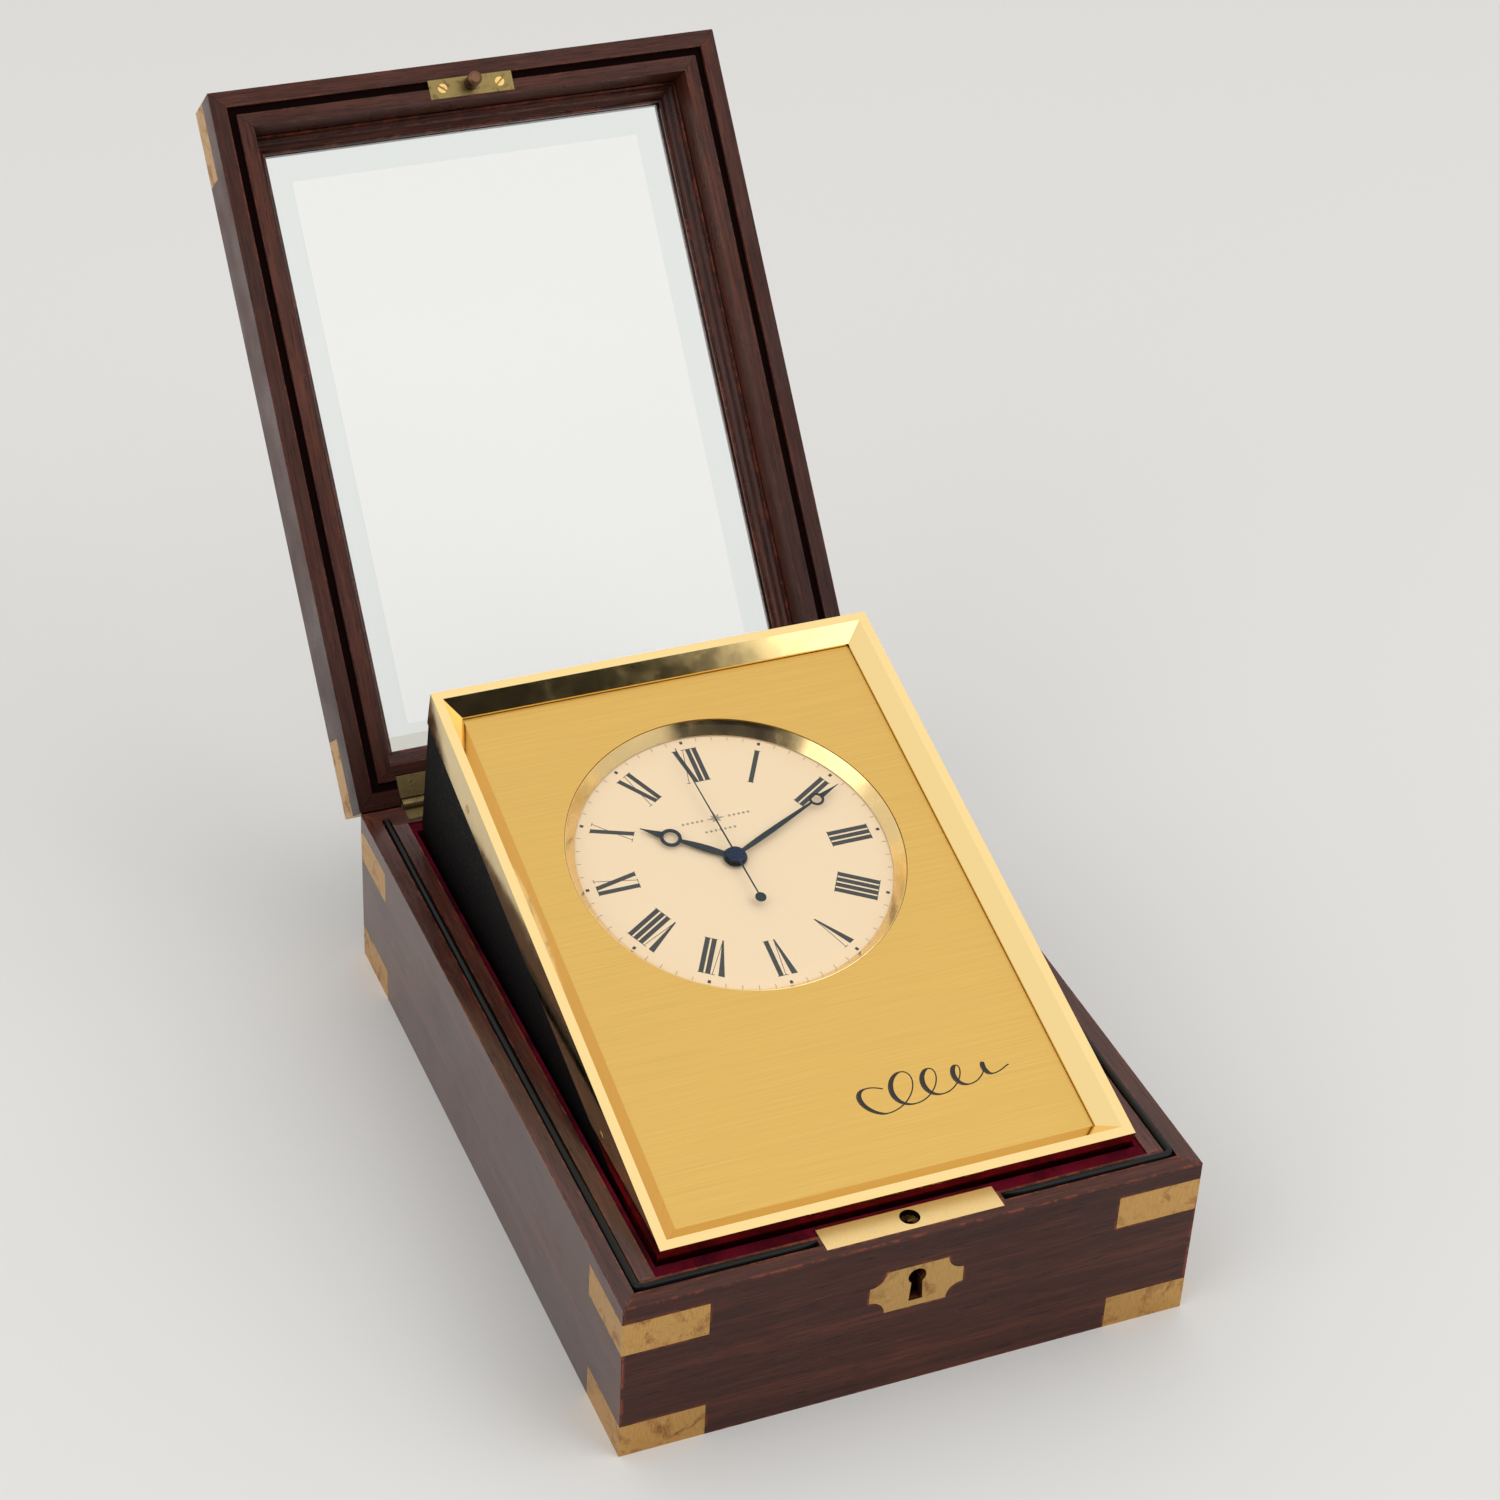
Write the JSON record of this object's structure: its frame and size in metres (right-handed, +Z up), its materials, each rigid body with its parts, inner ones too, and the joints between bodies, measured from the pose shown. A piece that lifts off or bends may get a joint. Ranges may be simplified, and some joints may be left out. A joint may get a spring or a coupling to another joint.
{
  "type": "boxed marine chronometer",
  "caption": "Quartz marine chronometer with a tilting clock in a brass-bound mahogany box with a hinged, bevel-glazed lid, open.",
  "frame": {"origin": "centre of the box's underside, on the surface it stands on", "axes": "+Z up; -Y is the front with the keyhole; +X to the right as seen from the front; the lid is hinged at +Y"},
  "size_m": [0.165, 0.383, 0.2236],
  "materials": {
    "mahogany": "french polished, satin",
    "brass": "satin, tarnished",
    "old_brass": "dull",
    "gold_polished": "mirror polished",
    "gold_brushed": "fine horizontal brushing",
    "velvet": "crimson pile",
    "seal_rubber": "matte",
    "leathercloth": "fine black grain",
    "dial_cream": "matte cream",
    "blued_steel": "blued",
    "steel": "satin",
    "black_plastic": "matte",
    "board_green": "solder mask",
    "copper": "enamelled copper wire",
    "glass": "clear, polished"
  },
  "bodies": {
    "base": {"base_front_wall": "mahogany", "base_back_wall": "mahogany", "base_left_wall": "mahogany", "base_right_wall": "mahogany", "base_bottom_board": "mahogany", "velvet_lining": "velvet", "dust_seal_left": "seal_rubber", "dust_seal_right": "seal_rubber", "strap_front_left_lower": "brass", "strap_front_left_upper": "brass", "strap_front_right_lower": "brass", "strap_front_right_upper": "brass", "strap_back_left_lower": "brass", "strap_back_left_upper": "brass", "strap_back_right_lower": "brass", "strap_back_right_upper": "brass", "lock_body": "brass", "escutcheon": "brass", "hinge_base_leaf_left": "old_brass", "hinge_base_leaf_right": "old_brass", "hinge_pin_left": "old_brass", "hinge_pin_right": "old_brass", "tilt_axle": "steel"},
    "bolt": {"lock_bolt": "steel"},
    "lid": {"lid_front_rail": "mahogany", "lid_back_rail": "mahogany", "lid_left_stile": "mahogany", "lid_right_stile": "mahogany", "lid_glass": "glass", "glazing_bead": "mahogany", "lid_strap_front_left": "brass", "lid_strap_front_right": "brass", "lid_strap_back_left": "brass", "lid_strap_back_right": "brass", "strike_plate": "old_brass", "hinge_lid_leaf_left": "old_brass", "hinge_lid_leaf_right": "old_brass"},
    "clock": {"bezel_frame": "gold_polished", "front_plate": "gold_brushed", "dial_ring": "gold_polished", "dial_crystal": "glass", "dial": "dial_cream", "case_shell": "leathercloth", "back_cover": "black_plastic", "movement_plate": "brass", "train_bridge": "brass", "circuit_board": "board_green", "coil": "copper", "battery": "steel"},
    "prop": {"tilt_prop": "steel"},
    "seconds": {"seconds_wheel": "brass", "second_hand": "blued_steel"},
    "rotor": {"rotor": "steel"},
    "third": {"third_wheel": "brass"},
    "centre": {"centre_wheel": "brass", "minute_hand": "blued_steel"},
    "motion": {"motion_wheel": "brass", "setting_knob": "black_plastic"},
    "hours": {"hour_wheel": "brass", "hour_hand": "blued_steel"}
  },
  "joints": [
    {"name": "lid_hinge", "type": "hinge", "parent": "base", "child": "lid", "pos_m": [0, 0.1118, 0.05265], "axis": [1, 0, 0], "range_deg": [0, 130]},
    {"name": "clock_tilt", "type": "hinge", "parent": "base", "child": "clock", "pos_m": [0, -0.0844, 0.0442], "axis": [1, 0, 0], "range_deg": [-15.6, 0]},
    {"name": "prop_fold", "type": "hinge", "parent": "clock", "child": "prop", "pos_m": [0, 0.0591, 0.04751], "axis": [1, 0, 0], "range_deg": [-15.6, 0]},
    {"name": "lock_bolt_slide", "type": "slide", "parent": "base", "child": "bolt", "axis": [-1, 0, 0], "range_m": [0, 0.004]},
    {"name": "seconds_spin", "type": "hinge", "parent": "clock", "child": "seconds", "pos_m": [0, 0.02135, 0.07373], "axis": [0, -0.2689, 0.9632], "continuous": true},
    {"name": "rotor_spin", "type": "hinge", "parent": "clock", "child": "rotor", "pos_m": [0.00792, 0.03457, 0.07742], "axis": [0, -0.2689, 0.9632], "continuous": true},
    {"name": "third_spin", "type": "hinge", "parent": "clock", "child": "third", "pos_m": [-0.01438, 0.01631, 0.07232], "axis": [0, -0.2689, 0.9632], "continuous": true},
    {"name": "centre_spin", "type": "hinge", "parent": "clock", "child": "centre", "pos_m": [0, 0.02135, 0.07373], "axis": [0, -0.2689, 0.9632], "continuous": true},
    {"name": "motion_spin", "type": "hinge", "parent": "clock", "child": "motion", "pos_m": [0.00534, 0.00724, 0.06978], "axis": [0, -0.2689, 0.9632], "continuous": true},
    {"name": "hour_spin", "type": "hinge", "parent": "clock", "child": "hours", "pos_m": [0, 0.02135, 0.07373], "axis": [0, -0.2689, 0.9632], "continuous": true}
  ],
  "couplings": [
    {"joint": "clock_tilt", "follows": "lid_hinge", "ratio": -0.12},
    {"joint": "prop_fold", "follows": "lid_hinge", "ratio": -0.12},
    {"joint": "rotor_spin", "follows": "seconds_spin", "ratio": -5},
    {"joint": "third_spin", "follows": "seconds_spin", "ratio": -0.13333},
    {"joint": "centre_spin", "follows": "seconds_spin", "ratio": 0.016667},
    {"joint": "motion_spin", "follows": "seconds_spin", "ratio": -0.0055556},
    {"joint": "hour_spin", "follows": "seconds_spin", "ratio": 0.0013889}
  ]
}
